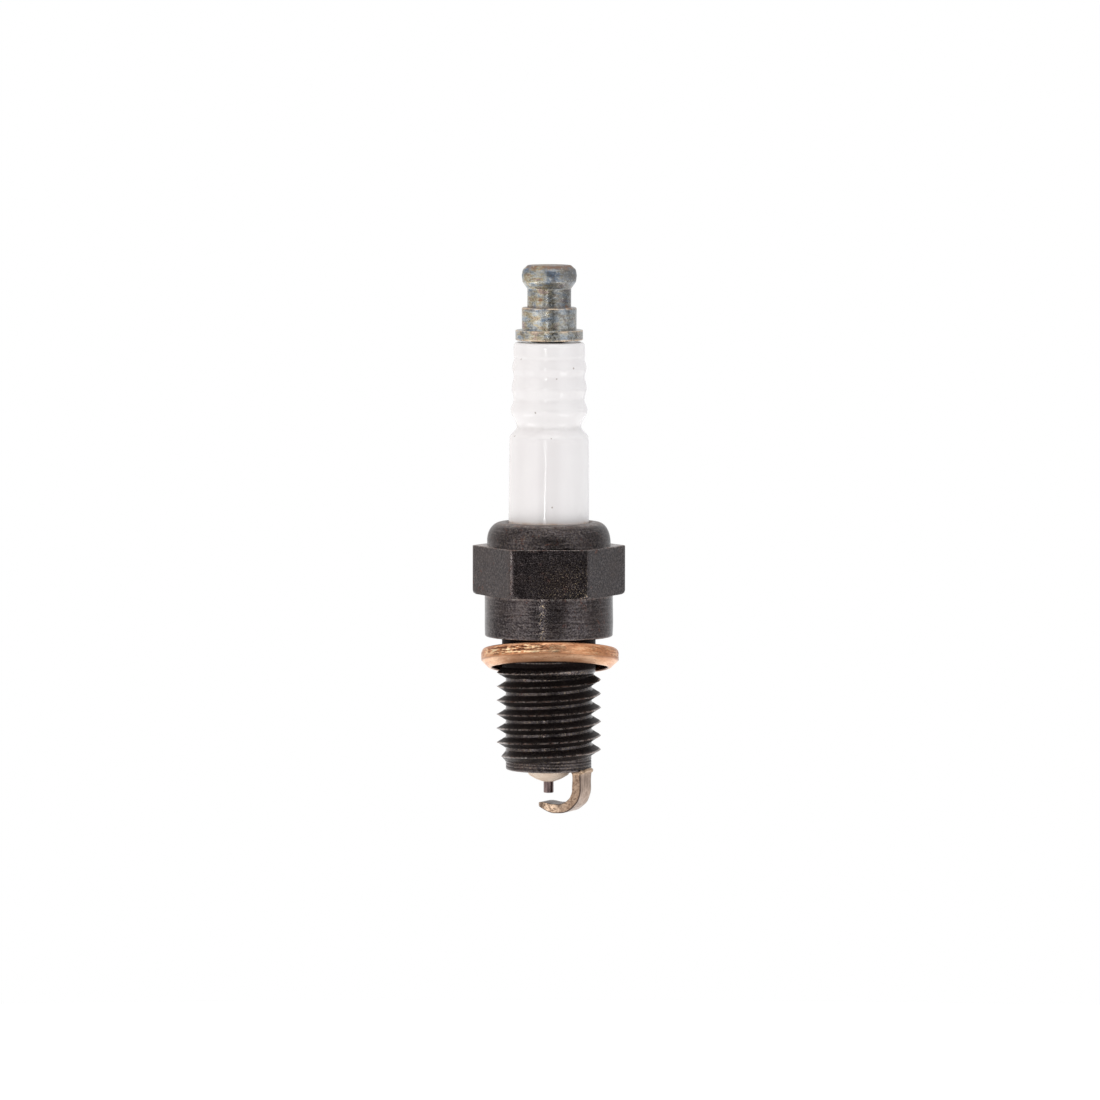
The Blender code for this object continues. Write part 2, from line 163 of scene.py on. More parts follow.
# ---------------------------------------------------------------- node helpers
class Nodes:
    """Short calls for building a node tree."""

    def __init__(self, tree, coords):
        self.tree = tree
        self.coords = self.add("ShaderNodeTexCoord").outputs[coords]

    def add(self, kind, **props):
        node = self.tree.nodes.new(kind)
        for key, value in props.items():
            setattr(node, key, value)
        return node

    def plug(self, value, socket):
        if isinstance(value, bpy.types.NodeSocket):
            self.tree.links.new(value, socket)
        elif isinstance(value, tuple) and len(value) == 3 and socket.type == "RGBA":
            socket.default_value = (*value, 1.0)
        else:
            socket.default_value = value

    def mapping(self, setting, values):
        node = self.add("ShaderNodeMapping")
        self.plug(self.coords, node.inputs["Vector"])
        node.inputs[setting].default_value = values
        return node.outputs["Vector"]

    def stretch(self, x, y, z):
        return self.mapping("Scale", (x, y, z))

    def tilt(self, angle):
        """Turns the coordinates about X for every later texture."""
        self.coords = self.mapping("Rotation", (angle, 0.0, 0.0))

    def noise(self, scale, detail, rough, vector=None, distortion=0.0):
        node = self.add("ShaderNodeTexNoise")
        self.plug(vector or self.coords, node.inputs["Vector"])
        for key, number in (("Scale", scale), ("Detail", detail), ("Roughness", rough),
                            ("Distortion", distortion)):
            node.inputs[key].default_value = number
        return node.outputs["Fac"]

    def cells(self, scale):
        node = self.add("ShaderNodeTexVoronoi")
        self.plug(self.coords, node.inputs["Vector"])
        node.inputs["Scale"].default_value = scale
        return node.outputs["Distance"]

    def ramp(self, value, *stops):
        node = self.add("ShaderNodeValToRGB")
        self.plug(value, node.inputs["Fac"])
        ramp = node.color_ramp
        while len(ramp.elements) < len(stops):
            ramp.elements.new(0.5)
        for element, (place, colour) in zip(ramp.elements, stops):
            element.position = place
            element.color = (*colour, 1.0)
        return node.outputs["Color"]

    def span(self, value, low, high, to_low=0.0, to_high=1.0):
        """The value carried smoothly from low..high to to_low..to_high."""
        node = self.add("ShaderNodeMapRange", interpolation_type="SMOOTHSTEP")
        self.plug(value, node.inputs["Value"])
        for key, number in (("From Min", low), ("From Max", high), ("To Min", to_low),
                            ("To Max", to_high)):
            node.inputs[key].default_value = number
        return node.outputs["Result"]

    def maths(self, operation, a, b=0.0):
        node = self.add("ShaderNodeMath", operation=operation)
        self.plug(a, node.inputs[0])
        self.plug(b, node.inputs[1])
        return node.outputs["Value"]

    def times(self, a, b):
        return self.maths("MULTIPLY", a, b)

    def plus(self, a, b):
        return self.maths("ADD", a, b)

    def minus(self, a, b):
        return self.maths("SUBTRACT", a, b)

    def mix(self, factor, a, b, blend="MIX"):
        node = self.add("ShaderNodeMix", data_type="RGBA", blend_type=blend)
        self.plug(factor, node.inputs["Factor"])
        self.plug(a, node.inputs[6])
        self.plug(b, node.inputs[7])
        return node.outputs[2]

    def attribute(self, name):
        return self.add("ShaderNodeAttribute", attribute_name=name).outputs["Fac"]

    def axis(self, name):
        node = self.add("ShaderNodeSeparateXYZ")
        self.plug(self.coords, node.inputs[0])
        return node.outputs[name]

    def bump(self, height, strength, distance):
        node = self.add("ShaderNodeBump")
        self.plug(height, node.inputs["Height"])
        node.inputs["Strength"].default_value = strength
        node.inputs["Distance"].default_value = distance
        return node.outputs["Normal"]


class Material(Nodes):
    """A new material's node tree, on the piece's own coordinates."""

    def __init__(self, name):
        self.material = bpy.data.materials.new(name)
        self.material.use_nodes = True
        super().__init__(self.material.node_tree, "Object")
        self.shader = self.tree.nodes["Principled BSDF"]

    def out(self, color, rough, metal, normal=None):
        inputs = self.shader.inputs
        self.plug(color, inputs["Base Color"])
        self.plug(rough, inputs["Roughness"])
        self.plug(metal, inputs["Metallic"])
        if normal is not None:
            self.plug(normal, inputs["Normal"])
        return self.material


# ---------------------------------------------------------------- materials
GASKET_TILT = math.radians(-11.0)


def black_oxide():
    """Worn black oxide: pitted, with turning lines, pale flecks, rubbed edges and rust, with
    painted shade in recesses and painted highlights where the shell's attributes ask.
    """
    n = Material("black_oxide_worn")
    turned, matte, deep = n.attribute("turned"), n.attribute("matte"), n.attribute("deep")
    pits = n.noise(9000.0, 3.0, 0.75)
    grain = n.noise(2600.0, 4.0, 0.7)
    patch = n.noise(430.0, 3.0, 0.6)
    turning = n.noise(1.0, 3.0, 0.75, n.stretch(760.0, 760.0, 9800.0))
    base = n.ramp(pits, (0.36, (0.012, 0.009, 0.010)), (0.51, (0.051, 0.043, 0.045)),
                  (0.66, (0.152, 0.132, 0.130)))
    base = n.mix(n.span(patch, 0.45, 0.68, 0.0, 0.45), base, (0.066, 0.049, 0.046))
    base = n.mix(n.times(matte, 0.30), base, (0.020, 0.014, 0.013))
    lines = n.times(n.span(turning, 0.52, 0.68, 0.0, 0.55), turned)
    base = n.mix(lines, base, (0.17, 0.15, 0.148))
    cuts = n.times(n.span(turning, 0.32, 0.47, 0.75, 0.0), turned)
    base = n.mix(cuts, base, (0.012, 0.010, 0.010))
    # Pale specks; down the barrel's front they also make a painted highlight streak.
    specks = n.times(n.span(n.noise(10500.0, 1.0, 0.5), 0.57, 0.65), n.attribute("fleck"))
    base = n.mix(specks, base, (0.28, 0.22, 0.15))
    broken = n.span(n.noise(5200.0, 3.0, 0.75), 0.36, 0.60, 0.12, 1.0)
    # Rubbed bare metal; the same colour also makes painted highlights on the neck under the gasket
    # and at the hexagon top's ends.
    wear = n.times(n.attribute("wear"), broken)
    bare = n.ramp(n.noise(2900.0, 3.0, 0.7), (0.38, (0.36, 0.22, 0.17)),
                  (0.52, (0.52, 0.44, 0.40)), (0.66, (0.80, 0.74, 0.70)))
    base = n.mix(wear, base, bare)
    spots = n.span(n.noise(2300.0, 4.0, 0.75), 0.58, 0.67)
    areas = n.span(n.noise(380.0, 2.0, 0.5), 0.46, 0.60, 0.15, 1.0)
    rust = n.times(n.times(spots, areas), n.attribute("rust"))
    brown = n.ramp(n.noise(7000.0, 2.0, 0.6), (0.40, (0.085, 0.028, 0.018)),
                   (0.62, (0.155, 0.062, 0.040)))
    base = n.mix(rust, base, brown)
    # Painted shade: near black in the recessed neck, on the thread's flanks and in the pilot's
    # grooves, and more metallic and rougher there.
    base = n.mix(deep, base, (0.010, 0.006, 0.006))
    rough = n.span(grain, 0.25, 0.8, 0.14, 0.28)
    for cause, amount in ((rust, 0.3), (wear, 0.25), (matte, 0.14), (deep, 0.5)):
        rough = n.plus(rough, n.times(cause, amount))
    height = n.plus(n.times(pits, 0.7), n.times(grain, 0.7))
    height = n.plus(height, n.times(n.times(turning, turned), 0.6))
    metal = n.plus(0.85, n.times(deep, 0.15))
    return n.out(base, rough, metal, n.bump(height, 0.6, 1.5e-5))


def glaze():
    """White glaze, a little wavy, with pin specks and grime at the shell's rim."""
    n = Material("white_glaze_ceramic")
    tone = n.ramp(n.noise(260.0, 3.0, 0.5), (0.3, (0.785, 0.755, 0.755)),
                  (0.7, (0.825, 0.805, 0.80)))
    pin = n.noise(2600.0, 1.0, 0.4)
    tone = n.mix(n.span(pin, 0.785, 0.805, 0.0, 0.75), tone, (0.34, 0.28, 0.25))
    patchy = n.span(n.noise(1100.0, 3.0, 0.6), 0.3, 0.7, 0.35, 1.0)
    tone = n.mix(n.times(n.attribute("grime"), patchy), tone, (0.62, 0.44, 0.31))
    streaky = n.span(n.noise(2300.0, 4.0, 0.7), 0.35, 0.65)
    tone = n.mix(n.times(n.attribute("film"), streaky), tone, (0.60, 0.56, 0.52))
    wave = n.noise(520.0, 2.0, 0.4, n.stretch(1.0, 1.0, 0.6))
    height = n.plus(wave, n.times(n.noise(1500.0, 2.0, 0.5), 0.42))
    height = n.plus(height, n.times(n.noise(4200.0, 2.0, 0.5), 0.20))
    rough = n.span(n.noise(1300.0, 3.0, 0.6), 0.38, 0.66, 0.06, 0.24)
    inputs = n.shader.inputs
    inputs["Specular IOR Level"].default_value = 0.62
    inputs["Subsurface Weight"].default_value = 0.12
    inputs["Subsurface Radius"].default_value = (0.8, 0.8, 0.8)
    inputs["Subsurface Scale"].default_value = 0.6 * MM
    return n.out(tone, rough, 0.0, n.bump(height, 0.55, 2.4e-5))


def bisque():
    """The unglazed, heat-stained nose."""
    n = Material("unglazed_nose")
    grain = n.noise(5200.0, 4.0, 0.6)
    tone = n.ramp(n.noise(1300.0, 4.0, 0.6), (0.3, (0.64, 0.48, 0.37)),
                  (0.7, (0.82, 0.69, 0.565)))
    tone = n.mix(n.span(grain, 0.60, 0.74, 0.0, 0.35), tone, (0.45, 0.32, 0.24))
    rough = n.span(grain, 0.3, 0.7, 0.62, 0.8)
    return n.out(tone, rough, 0.0, n.bump(grain, 0.6, 1.2e-5))


def zinc():
    """Zinc plate with a rainbow film: bluer on one side, browner on the neck and bulb."""
    n = Material("zinc_rainbow_plate")
    patch = n.noise(900.0, 4.0, 0.68, n.stretch(1.0, 1.0, 2.6), 0.3)
    film = n.ramp(
        patch, (0.30, (0.15, 0.23, 0.36)), (0.40, (0.31, 0.37, 0.43)), (0.48, (0.50, 0.50, 0.465)),
        (0.55, (0.47, 0.405, 0.25)), (0.63, (0.38, 0.27, 0.25)), (0.74, (0.18, 0.28, 0.37)),
    )
    side = n.span(n.axis("X"), -0.9 * MM, 1.3 * MM)
    film = n.mix(n.times(side, 0.55), film, (0.30, 0.325, 0.355))
    aloft = n.span(n.axis("Z"), 19.8 * MM, 20.1 * MM)
    film = n.mix(n.times(aloft, 0.45), film, (0.50, 0.48, 0.44), "MULTIPLY")
    film = n.mix(n.times(n.times(aloft, side), 0.65), film, (0.50, 0.52, 0.60), "MULTIPLY")
    bands = n.noise(1.0, 3.0, 0.75, n.stretch(620.0, 620.0, 7600.0))
    film = n.mix(n.span(bands, 0.50, 0.68, 0.0, 0.60), film, (0.14, 0.13, 0.12))
    speck = n.noise(8200.0, 3.0, 0.75)
    film = n.mix(n.span(speck, 0.54, 0.68, 0.0, 0.46), film, (0.84, 0.81, 0.74))
    film = n.mix(n.span(speck, 0.34, 0.46, 0.62, 0.0), film, (0.12, 0.11, 0.10))
    blot = n.noise(2900.0, 3.0, 0.6)
    film = n.mix(n.span(blot, 0.55, 0.66, 0.0, 0.62), film, (0.15, 0.14, 0.13))
    edge = n.times(n.attribute("wear"), n.span(n.noise(3000.0, 3.0, 0.6), 0.35, 0.60))
    film = n.mix(edge, film, (0.66, 0.52, 0.38))
    stain = n.times(n.attribute("rust"), n.span(n.noise(2300.0, 4.0, 0.7), 0.42, 0.56))
    spots = n.times(n.span(n.noise(2100.0, 3.0, 0.6), 0.69, 0.75), 0.8)
    rust = n.maths("MINIMUM", n.maths("MAXIMUM", stain, spots), 1.0)
    # Painted shade from the nut: darker under the bulb, in its inner corners and low on the bulb's
    # front.
    film = n.mix(n.attribute("grime"), film, (0.20, 0.19, 0.18), "MULTIPLY")
    film = n.mix(rust, film, (0.23, 0.120, 0.066))
    rough = n.plus(n.span(speck, 0.3, 0.75, 0.24, 0.35), n.times(rust, 0.3))
    on_bulb = n.span(n.axis("Z"), 21.45 * MM, 21.70 * MM, 0.0, 0.20)
    rough = n.plus(rough, on_bulb)
    metal = n.minus(1.0, n.times(rust, 0.6))
    height = n.plus(n.times(bands, 0.7), n.times(blot, 1.2))
    height = n.plus(height, n.times(speck, 0.35))
    return n.out(film, rough, metal, n.bump(height, 0.6, 1.6e-5))


def copper():
    """Crushed copper, smeared along the ring, with a torn band round its upper side."""
    n = Material("crushed_copper")
    n.tilt(-GASKET_TILT)
    smear = n.noise(430.0, 5.0, 0.65, n.stretch(1.0, 1.0, 6.0))
    tone = n.ramp(smear, (0.30, (0.46, 0.215, 0.112)), (0.48, (0.72, 0.390, 0.225)),
                  (0.68, (0.98, 0.66, 0.44)))
    fine = n.noise(1.0, 4.0, 0.75, n.stretch(1500.0, 1500.0, 8200.0))
    tone = n.mix(n.span(fine, 0.56, 0.70, 0.0, 0.45), tone, (0.98, 0.74, 0.50))
    tone = n.mix(n.span(fine, 0.30, 0.45, 0.40, 0.0), tone, (0.30, 0.13, 0.066))
    # A darker, redder upper band, less dark on the front as a painted highlight.
    upper = n.times(n.attribute("upper"), 0.85)
    tone = n.mix(upper, tone, (0.84, 0.62, 0.45), "MULTIPLY")
    torn = n.attribute("torn")
    shred = n.noise(1.0, 4.0, 0.74, n.stretch(1500.0, 1500.0, 8600.0))
    rip = n.times(torn, n.span(shred, 0.51, 0.55))
    tone = n.mix(n.times(rip, 0.95), tone, (0.085, 0.030, 0.016))
    glint = n.times(torn, n.span(shred, 0.43, 0.47, 1.0, 0.0))
    tone = n.mix(glint, tone, (1.0, 0.80, 0.50))
    # Painted shade along the fold and low on the front under it.
    tone = n.mix(n.times(n.attribute("crease"), 0.80), tone, (0.26, 0.110, 0.052))
    pores = n.span(n.noise(7000.0, 2.0, 0.6), 0.56, 0.70, 0.0, 0.35)
    tone = n.mix(pores, tone, (0.30, 0.14, 0.075))
    # Painted shade on the ring's inner sheet.
    tone = n.mix(n.attribute("inside"), tone, (0.19, 0.088, 0.050))
    rough = n.span(fine, 0.3, 0.75, 0.26, 0.42)
    height = n.plus(n.times(smear, 0.6), n.times(fine, 0.5))
    height = n.minus(height, n.times(rip, 1.1))
    return n.out(tone, rough, 0.92, n.bump(height, 0.7, 2.6e-5))


def nickel():
    """Dull drawn nickel, coarser on its sheared sides with painted highlights on them, painted
    shade on the arm's top and inside its bend, gilded at the weld.
    """
    n = Material("dull_nickel_strap")
    cloud = n.noise(1900.0, 4.0, 0.65)
    tone = n.ramp(cloud, (0.3, (0.23, 0.158, 0.118)), (0.5, (0.36, 0.262, 0.203)),
                  (0.72, (0.50, 0.385, 0.31)))
    drawn = n.noise(1.0, 3.0, 0.7, n.stretch(5200.0, 5200.0, 620.0))
    tone = n.mix(n.span(drawn, 0.52, 0.70, 0.0, 0.45), tone, (0.62, 0.49, 0.40))
    tone = n.mix(n.span(drawn, 0.32, 0.46, 0.45, 0.0), tone, (0.15, 0.098, 0.074))
    side = n.attribute("sheared")
    shear = n.noise(3600.0, 4.0, 0.75)
    tone = n.mix(n.times(side, 0.7), tone, (0.25, 0.160, 0.104))
    # Painted highlight in pale specks on the sheared sides and the weld's outer side.
    bright = n.times(n.attribute("bright"), n.span(shear, 0.42, 0.56))
    tone = n.mix(bright, tone, (0.88, 0.66, 0.48))
    dark = n.times(side, n.span(n.noise(5600.0, 3.0, 0.75), 0.48, 0.62, 0.0, 0.74))
    tone = n.mix(dark, tone, (0.10, 0.060, 0.040))
    # Painted shade on the arm's top face, inside the bend and on the weld's inner side.
    tone = n.mix(n.attribute("edge"), tone, (0.060, 0.038, 0.030))
    weld = n.attribute("weld")
    tone = n.mix(n.times(weld, 0.75), tone, (0.44, 0.30, 0.19))
    scorch = n.times(weld, n.span(n.noise(2600.0, 2.0, 0.6), 0.48, 0.70, 0.0, 0.55))
    tone = n.mix(scorch, tone, (0.09, 0.045, 0.030))
    rough = n.span(shear, 0.3, 0.75, 0.27, 0.46)
    return n.out(tone, rough, 0.9, n.bump(shear, 0.6, 1.4e-5))


def dark_wire():
    n = Material("fine_wire_tip")
    streak = n.noise(3400.0, 4.0, 0.7, n.stretch(1.4, 1.4, 0.16))
    tone = n.ramp(streak, (0.32, (0.04, 0.028, 0.028)), (0.50, (0.17, 0.122, 0.118)),
                  (0.70, (0.42, 0.30, 0.28)))
    rough = n.span(streak, 0.3, 0.7, 0.25, 0.42)
    return n.out(tone, rough, 0.95, n.bump(streak, 0.5, 1e-5))


def turned_steel(name, dark, light):
    n = Material(name)
    lines = n.noise(1.0, 4.0, 0.7, n.stretch(150.0, 150.0, 8400.0))
    cloud = n.noise(900.0, 3.0, 0.6)
    tone = n.ramp(lines, (0.3, dark), (0.7, light))
    tone = n.mix(n.span(cloud, 0.5, 0.75, 0.0, 0.35), tone, tuple(0.6 * c for c in dark))
    rough = n.span(cloud, 0.3, 0.7, 0.24, 0.42)
    return n.out(tone, rough, 1.0, n.bump(lines, 0.5, 1e-5))


def pressed_powder(name, dark, light, scale, roughness, depth):
    n = Material(name)
    grain = n.noise(scale, 5.0, 0.7)
    tone = n.ramp(grain, (0.3, dark), (0.7, light))
    gaps = n.span(n.cells(scale * 0.6), 0.02, 0.22, 0.35, 0.0)
    tone = n.mix(gaps, tone, tuple(0.5 * c for c in dark))
    rough = n.span(grain, 0.3, 0.7, roughness - 0.1, roughness + 0.1)
    return n.out(tone, rough, 0.0, n.bump(grain, 0.6, depth))


def plain_copper():
    n = Material("drawn_copper")
    draw = n.noise(1500.0, 4.0, 0.7, n.stretch(1.0, 1.0, 0.08))
    tone = n.ramp(draw, (0.3, (0.52, 0.25, 0.14)), (0.7, (0.82, 0.47, 0.30)))
    rough = n.span(draw, 0.3, 0.7, 0.25, 0.4)
    return n.out(tone, rough, 1.0, n.bump(draw, 0.4, 8e-6))


MATERIALS = {
    "black": black_oxide(),
    "glaze": glaze(),
    "bisque": bisque(),
    "zinc": zinc(),
    "copper": copper(),
    "nickel": nickel(),
    "wire": dark_wire(),
    "steel": turned_steel("plain_turned_steel", (0.30, 0.30, 0.30), (0.55, 0.54, 0.52)),
    "glass": pressed_powder(
        "fused_seal_glass", (0.10, 0.09, 0.085), (0.26, 0.24, 0.22), 3000.0, 0.35, 8e-6),
    "resistor": pressed_powder(
        "resistor_mass", (0.02, 0.02, 0.02), (0.09, 0.085, 0.08), 4200.0, 0.7, 1.2e-5),
    "talc": pressed_powder(
        "pressed_talc", (0.55, 0.53, 0.48), (0.80, 0.78, 0.73), 5200.0, 0.85, 1.2e-5),
    "core": plain_copper(),
}


def finish_piece(obj, material, body, replaced):
    """Gives the piece its material, its body and the CAD node that it replaces."""
    obj.data.materials.append(MATERIALS[material])
    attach(obj, body)
    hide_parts(replaced)


# ---------------------------------------------------------------- shell
SEGMENTS = 240
THETA = np.arange(SEGMENTS) * TAU / SEGMENTS
ACROSS = np.cos(THETA)
REACH = 8.1  # from the seat down to the shell's end
NECK, PILOT, BARREL = 2.83, 2.59, 3.88
HEX_APOTHEM, HEX_CORNER = 4.0, 0.10
HEX_TURNED = 4.62  # the hexagon's corners are turned down to this radius
HEX_BOTTOM, HEX_TOP = 2.54, 5.50
SEAM = math.radians(264.2)

PITCH, TURNS = 0.845, 7
CREST, ROOT, LAST_CREST = 3.155, 2.60, -1.81
PER_TURN = 22  # rows of the thread's sheet in one pitch
SHEET_ROWS = PER_TURN * (TURNS + 2)
SHEET_BOTTOM, SHEET_TOP, NECK_FOOT = -REACH + 0.20, -1.33, -1.31
ROW_GAP = 0.0015  # keeps the sheet's flattened rows apart


def hex_outline(within):
    """The rounded hexagon's radius, for angles measured from the middle of a flat."""
    half = TAU / 12
    flat = HEX_APOTHEM / np.cos(within)
    centre = HEX_APOTHEM / math.cos(half) - HEX_CORNER / math.cos(half)
    off = half - np.abs(within)
    chord = centre * np.sin(off)
    arc = centre * np.cos(off) + np.sqrt(np.maximum(HEX_CORNER ** 2 - chord ** 2, 0.0))
    return np.where(chord < HEX_CORNER * math.sin(half), np.minimum(arc, flat), flat)


def ring(radius, height):
    """One ring of points. Its radius and height may change round it."""
    level = np.broadcast_to(height, THETA.shape)
    return np.stack([radius * np.cos(THETA), radius * np.sin(THETA), level], -1)


def thread_sheet():
    """Rows that climb one pitch a turn, from the pilot over the thread to the neck, with how worn
    each point is and how much painted shade it gets. Past the thread's ends the rows are pressed
    flat."""
    groove_depth, groove_pitch, groove_dark = 0.018, 0.175, 0.75
    crest_half, crest_power, scuff_depth = 0.42, 1.15, 0.012
    start = LAST_CREST - PITCH * (TURNS + 1.5)
    rough = Waves(3, 24, 60, 4.0)
    rows, wear, deep = [], [], []
    for j in range(SHEET_ROWS + 1):
        height = start + PITCH * (j / PER_TURN + THETA / TAU)
        height = np.clip(height, SHEET_BOTTOM + ROW_GAP * j, SHEET_TOP - ROW_GAP * (SHEET_ROWS - j))
        along = j // PER_TURN - 1 + THETA / TAU
        if j == SHEET_ROWS:
            along = np.full(SEGMENTS, float(TURNS))
        phase = abs((j % PER_TURN) / PER_TURN - 0.5)
        lift = max(0.0, 1.0 - phase / crest_half) ** crest_power
        lift = lift if lift > 0.02 else 0.0
        grown = smooth(along) * smooth((TURNS - along) / 0.5)
        to_neck = smooth((height + 2.50) / 0.40)
        to_pilot = smooth((-6.90 - height) / 0.40)
        plain = ROOT + (NECK - ROOT) * to_neck + (PILOT - ROOT) * to_pilot
        scuff = scuff_depth * rough(THETA, height * 0.3) * (lift > 0.86)
        radius = plain + (CREST - scuff_depth - plain) * lift * grown + scuff * grown

        # Fine grooves round the pilot below the thread, darkened with painted shade.
        below_thread = smooth((-7.33 - height) / 0.05)
        wander = 0.6 * np.sin(height * 23.0)
        groove = (0.5 + 0.5 * np.cos(height * TAU / groove_pitch + wander)) ** 1.5
        groove = groove_dark * groove * below_thread
        rows.append(ring(radius - groove_depth * groove, height))

        # A painted highlight: a pale line in the wear colour on the neck just under the gasket,
        # lower to one side, where the painted shade is lifted.
        rubbed = 0.50 * bell(height, -1.435 + 0.035 * ACROSS, 0.030)
        rubbed = rubbed * smooth((0.55 - ACROSS) / 0.5)
        crest = (1.0 if lift > 0.88 else 0.45 if lift > 0.78 else 0.0) * grown
        ridge = 0.05 * (1.0 - groove / groove_dark) * below_thread
        wear.append(np.maximum(np.maximum(crest, ridge), rubbed))
        # Painted shade on the thread's flanks, in the pilot's grooves and up on the neck.
        flank = 0.70 if 0.10 < lift < 0.85 else 0.0
        shade = np.maximum(flank * grown, groove)
        shade = np.maximum(shade, 0.92 * smooth((height + 2.0) / 0.15))
        deep.append(shade * (1.0 - 1.8 * rubbed))
    return np.array(rows), np.array(wear), np.array(deep)


def stitch(low, sheet, high):
    """Faces over three index grids: the rings below, the climbing sheet and the rings above. The
    sheet's last column meets its first one turn on."""
    last = SEGMENTS - 1
    below, above = low[-1], high[0]
    faces = ring_quads(low[:-1], low[1:]) + ring_quads(high[:-1], high[1:])
    corners = [sheet[:-1, :-1], sheet[:-1, 1:], sheet[1:, 1:], sheet[1:, :-1]]
    faces += np.stack(corners, -1).reshape(-1, 4).tolist()
    for j in range(SHEET_ROWS - PER_TURN):
        k = j + PER_TURN
        faces.append([sheet[j, last], sheet[k, 0], sheet[k + 1, 0], sheet[j + 1, last]])
    for i in range(last):
        faces.append([below[i], below[i + 1], sheet[0, i + 1], sheet[0, i]])
        faces.append([sheet[-1, i], sheet[-1, i + 1], above[i + 1], above[i]])
    for j in range(PER_TURN):
        k = SHEET_ROWS - j
        faces.append([below[last], sheet[j, 0], sheet[j + 1, 0]])
        faces.append([above[0], sheet[k, last], sheet[k - 1, last]])
    faces += [
        [below[last], below[0], sheet[0, 0]],
        [below[last], sheet[PER_TURN, 0], sheet[0, last]],
        [above[0], above[last], sheet[-1, last]],
        [above[0], sheet[SHEET_ROWS - PER_TURN, last], sheet[-1, 0]],
    ]
    return [[int(i) for i in face] for face in faces]


